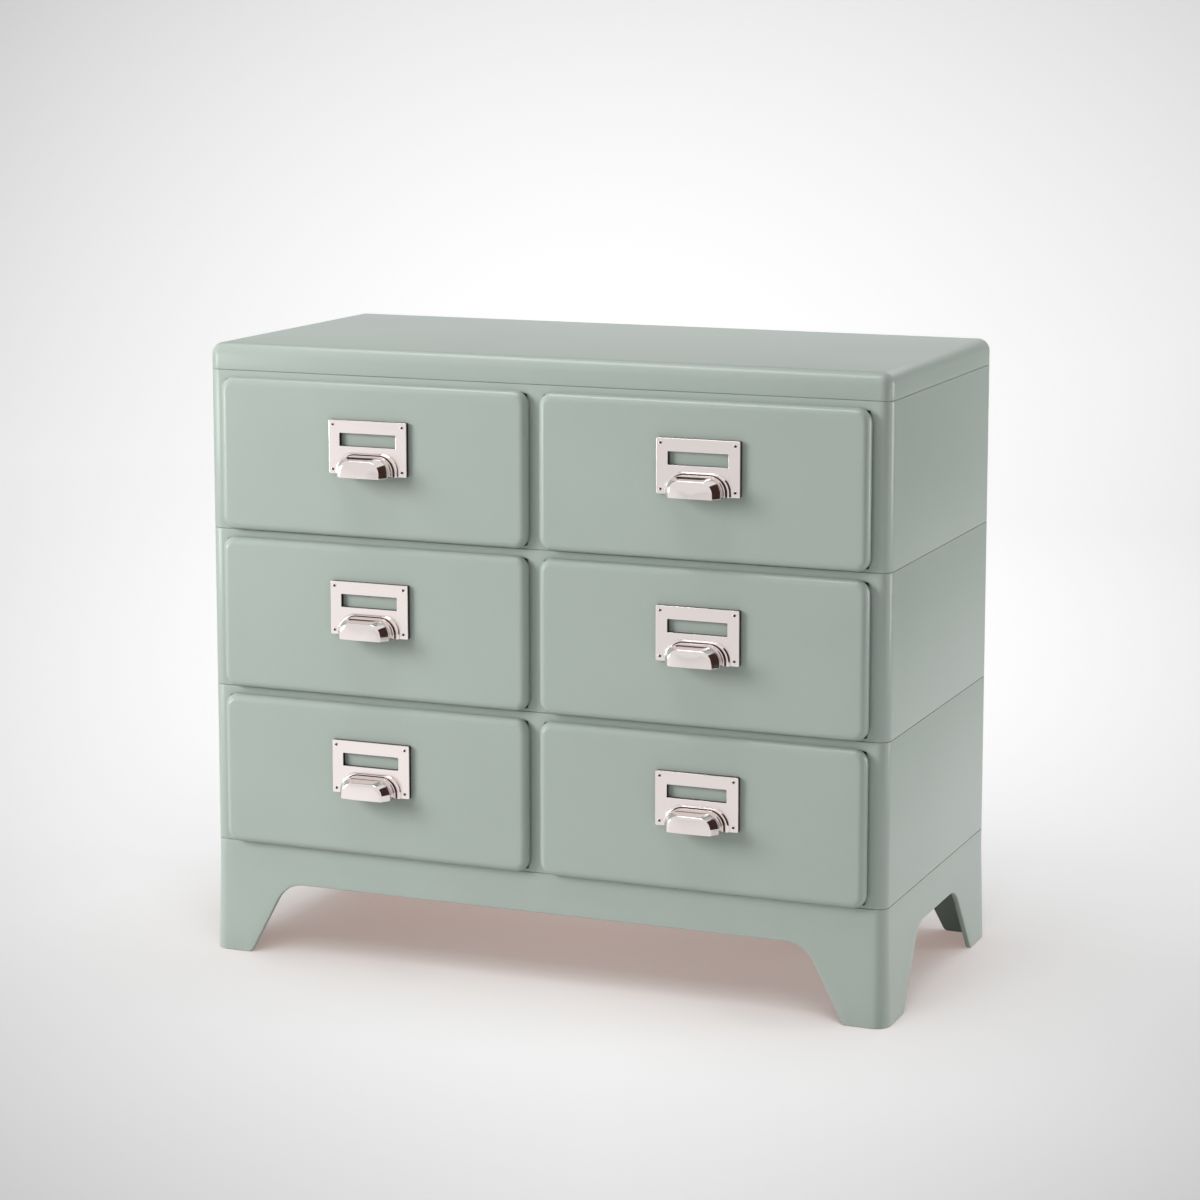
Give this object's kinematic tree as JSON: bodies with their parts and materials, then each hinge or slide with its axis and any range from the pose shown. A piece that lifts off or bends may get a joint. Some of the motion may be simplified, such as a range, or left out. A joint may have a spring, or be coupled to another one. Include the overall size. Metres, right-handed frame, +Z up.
{
  "type": "plastic drawer cabinet",
  "caption": "Low free-standing plastic drawer cabinet on a splayed-leg plinth: stacked tiers of side-by-side drawers with soft-edged fronts, metal label plates and cup pulls.",
  "frame": {"origin": "on the floor, at the middle of the whole outline with the pulls and the flared feet", "axes": "+X to the right as seen from the front, +Y from the drawers to the back, +Z up"},
  "size_m": [0.766, 0.408, 0.664],
  "materials": {
    "moulded_carcass": "satin sage green",
    "moulded_front": "satin sage green",
    "tray_plastic": "satin sage green",
    "rail_plastic": "pale grey, slippery",
    "inner_plastic": "satin sage green",
    "back_plastic": "matt sage green",
    "nickel_plate": "satin warm nickel",
    "polished_nickel": "polished warm nickel",
    "pin_steel": "polished nickel",
    "pin_plastic": "plain",
    "screw_steel": "zinc plated"
  },
  "bodies": {
    "cabinet": {"base_plinth": "moulded_carcass", "tier_frame_bottom": "moulded_carcass", "tier_frame_middle": "moulded_carcass", "tier_frame_top": "moulded_carcass", "centre_partition_bottom": "inner_plastic", "centre_partition_middle": "inner_plastic", "centre_partition_top": "inner_plastic", "runner_rails_bottom": "rail_plastic", "runner_rails_middle": "rail_plastic", "runner_rails_top": "rail_plastic", "back_panel_bottom": "back_plastic", "back_panel_middle": "back_plastic", "back_panel_top": "back_plastic", "top_cover": "moulded_carcass", "stacking_pins": "pin_plastic", "back_screws": "screw_steel", "rail_screws": "screw_steel"},
    "drawer_bottom_left": {"drawer_front_bottom_left": "moulded_front", "drawer_box_bottom_left": "tray_plastic", "label_plate_bottom_left": "nickel_plate", "cup_pull_bottom_left": "polished_nickel", "plate_screws_bottom_left": "pin_steel", "pull_screws_bottom_left": "screw_steel", "front_screws_bottom_left": "screw_steel"},
    "drawer_bottom_right": {"drawer_front_bottom_right": "moulded_front", "drawer_box_bottom_right": "tray_plastic", "label_plate_bottom_right": "nickel_plate", "cup_pull_bottom_right": "polished_nickel", "plate_screws_bottom_right": "pin_steel", "pull_screws_bottom_right": "screw_steel", "front_screws_bottom_right": "screw_steel"},
    "drawer_middle_left": {"drawer_front_middle_left": "moulded_front", "drawer_box_middle_left": "tray_plastic", "label_plate_middle_left": "nickel_plate", "cup_pull_middle_left": "polished_nickel", "plate_screws_middle_left": "pin_steel", "pull_screws_middle_left": "screw_steel", "front_screws_middle_left": "screw_steel"},
    "drawer_middle_right": {"drawer_front_middle_right": "moulded_front", "drawer_box_middle_right": "tray_plastic", "label_plate_middle_right": "nickel_plate", "cup_pull_middle_right": "polished_nickel", "plate_screws_middle_right": "pin_steel", "pull_screws_middle_right": "screw_steel", "front_screws_middle_right": "screw_steel"},
    "drawer_top_left": {"drawer_front_top_left": "moulded_front", "drawer_box_top_left": "tray_plastic", "label_plate_top_left": "nickel_plate", "cup_pull_top_left": "polished_nickel", "plate_screws_top_left": "pin_steel", "pull_screws_top_left": "screw_steel", "front_screws_top_left": "screw_steel"},
    "drawer_top_right": {"drawer_front_top_right": "moulded_front", "drawer_box_top_right": "tray_plastic", "label_plate_top_right": "nickel_plate", "cup_pull_top_right": "polished_nickel", "plate_screws_top_right": "pin_steel", "pull_screws_top_right": "screw_steel", "front_screws_top_right": "screw_steel"}
  },
  "joints": [
    {"name": "slide_bottom_left", "type": "slide", "parent": "cabinet", "child": "drawer_bottom_left", "axis": [0, -1, 0], "range_m": [0, 0.24]},
    {"name": "slide_bottom_right", "type": "slide", "parent": "cabinet", "child": "drawer_bottom_right", "axis": [0, -1, 0], "range_m": [0, 0.24]},
    {"name": "slide_middle_left", "type": "slide", "parent": "cabinet", "child": "drawer_middle_left", "axis": [0, -1, 0], "range_m": [0, 0.24]},
    {"name": "slide_middle_right", "type": "slide", "parent": "cabinet", "child": "drawer_middle_right", "axis": [0, -1, 0], "range_m": [0, 0.24]},
    {"name": "slide_top_left", "type": "slide", "parent": "cabinet", "child": "drawer_top_left", "axis": [0, -1, 0], "range_m": [0, 0.24]},
    {"name": "slide_top_right", "type": "slide", "parent": "cabinet", "child": "drawer_top_right", "axis": [0, -1, 0], "range_m": [0, 0.24]}
  ]
}
